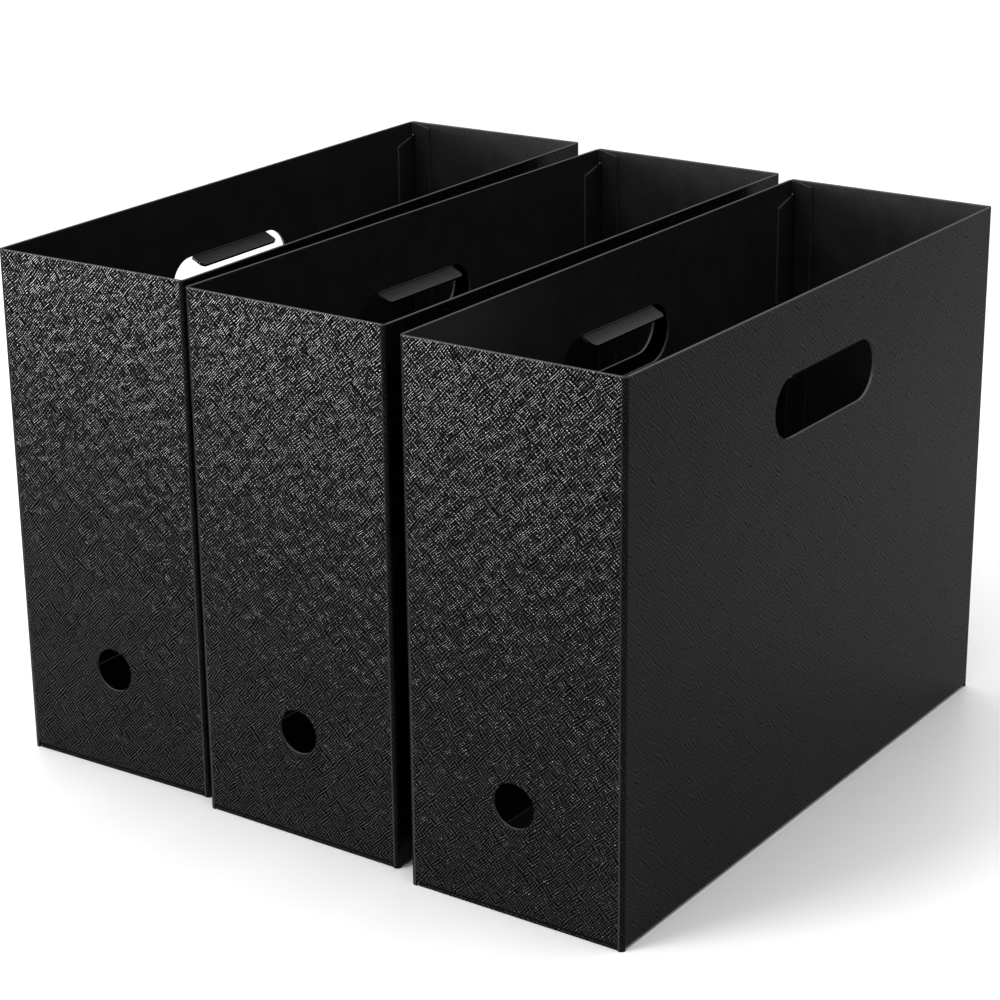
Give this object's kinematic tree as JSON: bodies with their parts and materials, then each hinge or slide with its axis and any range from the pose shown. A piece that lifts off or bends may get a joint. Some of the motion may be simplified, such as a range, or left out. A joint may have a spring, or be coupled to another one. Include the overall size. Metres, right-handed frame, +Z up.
{
  "type": "upright paper holder set",
  "caption": "Set of open-topped upright holders for 12 inch paper, each folded from one embossed plastic sheet, with a finger hole in front and lipped handle slots in the long sides.",
  "frame": {"origin": "centre of the middle holder's underside, on the surface that it stands on", "axes": "+Z up, +X to the right across the three holders, -Y towards the front walls with the finger holes; the middle holder is square to the axes"},
  "size_m": [0.3402, 0.3278, 0.238],
  "materials": {
    "embossed_sheet": "black polypropylene sheet, fine cross-hatch embossing outside, smooth satin inside"
  },
  "bodies": {
    "left_box": {"left_box_front_wall": "embossed_sheet", "left_box_left_wall": "embossed_sheet", "left_box_right_wall": "embossed_sheet", "left_box_back_wall": "embossed_sheet", "left_box_corner_flap": "embossed_sheet", "left_box_upper_lock_tab": "embossed_sheet", "left_box_lower_lock_tab": "embossed_sheet", "left_box_floor_panel": "embossed_sheet", "left_box_floor_tuck": "embossed_sheet", "left_box_front_dust_flap": "embossed_sheet", "left_box_back_dust_flap": "embossed_sheet"},
    "left_box_left_handle_lip": {"left_box_left_handle_lip": "embossed_sheet"},
    "left_box_right_handle_lip": {"left_box_right_handle_lip": "embossed_sheet"},
    "middle_box": {"middle_box_front_wall": "embossed_sheet", "middle_box_left_wall": "embossed_sheet", "middle_box_right_wall": "embossed_sheet", "middle_box_back_wall": "embossed_sheet", "middle_box_corner_flap": "embossed_sheet", "middle_box_upper_lock_tab": "embossed_sheet", "middle_box_lower_lock_tab": "embossed_sheet", "middle_box_floor_panel": "embossed_sheet", "middle_box_floor_tuck": "embossed_sheet", "middle_box_front_dust_flap": "embossed_sheet", "middle_box_back_dust_flap": "embossed_sheet"},
    "middle_box_left_handle_lip": {"middle_box_left_handle_lip": "embossed_sheet"},
    "middle_box_right_handle_lip": {"middle_box_right_handle_lip": "embossed_sheet"},
    "right_box": {"right_box_front_wall": "embossed_sheet", "right_box_left_wall": "embossed_sheet", "right_box_right_wall": "embossed_sheet", "right_box_back_wall": "embossed_sheet", "right_box_corner_flap": "embossed_sheet", "right_box_upper_lock_tab": "embossed_sheet", "right_box_lower_lock_tab": "embossed_sheet", "right_box_floor_panel": "embossed_sheet", "right_box_floor_tuck": "embossed_sheet", "right_box_front_dust_flap": "embossed_sheet", "right_box_back_dust_flap": "embossed_sheet"},
    "right_box_left_handle_lip": {"right_box_left_handle_lip": "embossed_sheet"},
    "right_box_right_handle_lip": {"right_box_right_handle_lip": "embossed_sheet"}
  },
  "joints": [
    {"name": "left_box_pull", "type": "slide", "parent": "middle_box", "child": "left_box", "axis": [0.0297, -0.9996, 0], "range_m": [0, 0.32]},
    {"name": "right_box_pull", "type": "slide", "parent": "middle_box", "child": "right_box", "axis": [0.0061, -1, 0], "range_m": [0, 0.32]},
    {"name": "left_box_left_handle_lip_fold", "type": "hinge", "parent": "left_box", "child": "left_box_left_handle_lip", "pos_m": [-0.16603, 0.0037, 0.2057], "axis": [0.0297, -0.9996, 0], "range_deg": [-65, 105]},
    {"name": "left_box_right_handle_lip_fold", "type": "hinge", "parent": "left_box", "child": "left_box_right_handle_lip", "pos_m": [-0.06467, 0.0067, 0.2057], "axis": [-0.0297, 0.9996, 0], "range_deg": [-65, 105]},
    {"name": "middle_box_left_handle_lip_fold", "type": "hinge", "parent": "middle_box", "child": "middle_box_left_handle_lip", "pos_m": [-0.0507, 0, 0.2057], "axis": [0, -1, 0], "range_deg": [-65, 105]},
    {"name": "middle_box_right_handle_lip_fold", "type": "hinge", "parent": "middle_box", "child": "middle_box_right_handle_lip", "pos_m": [0.0507, 0, 0.2057], "axis": [0, 1, 0], "range_deg": [-65, 105]},
    {"name": "right_box_left_handle_lip_fold", "type": "hinge", "parent": "right_box", "child": "right_box_left_handle_lip", "pos_m": [0.06465, -0.00721, 0.2057], "axis": [0.0061, -1, 0], "range_deg": [-65, 105]},
    {"name": "right_box_right_handle_lip_fold", "type": "hinge", "parent": "right_box", "child": "right_box_right_handle_lip", "pos_m": [0.16605, -0.00659, 0.2057], "axis": [-0.0061, 1, 0], "range_deg": [-65, 105]}
  ]
}
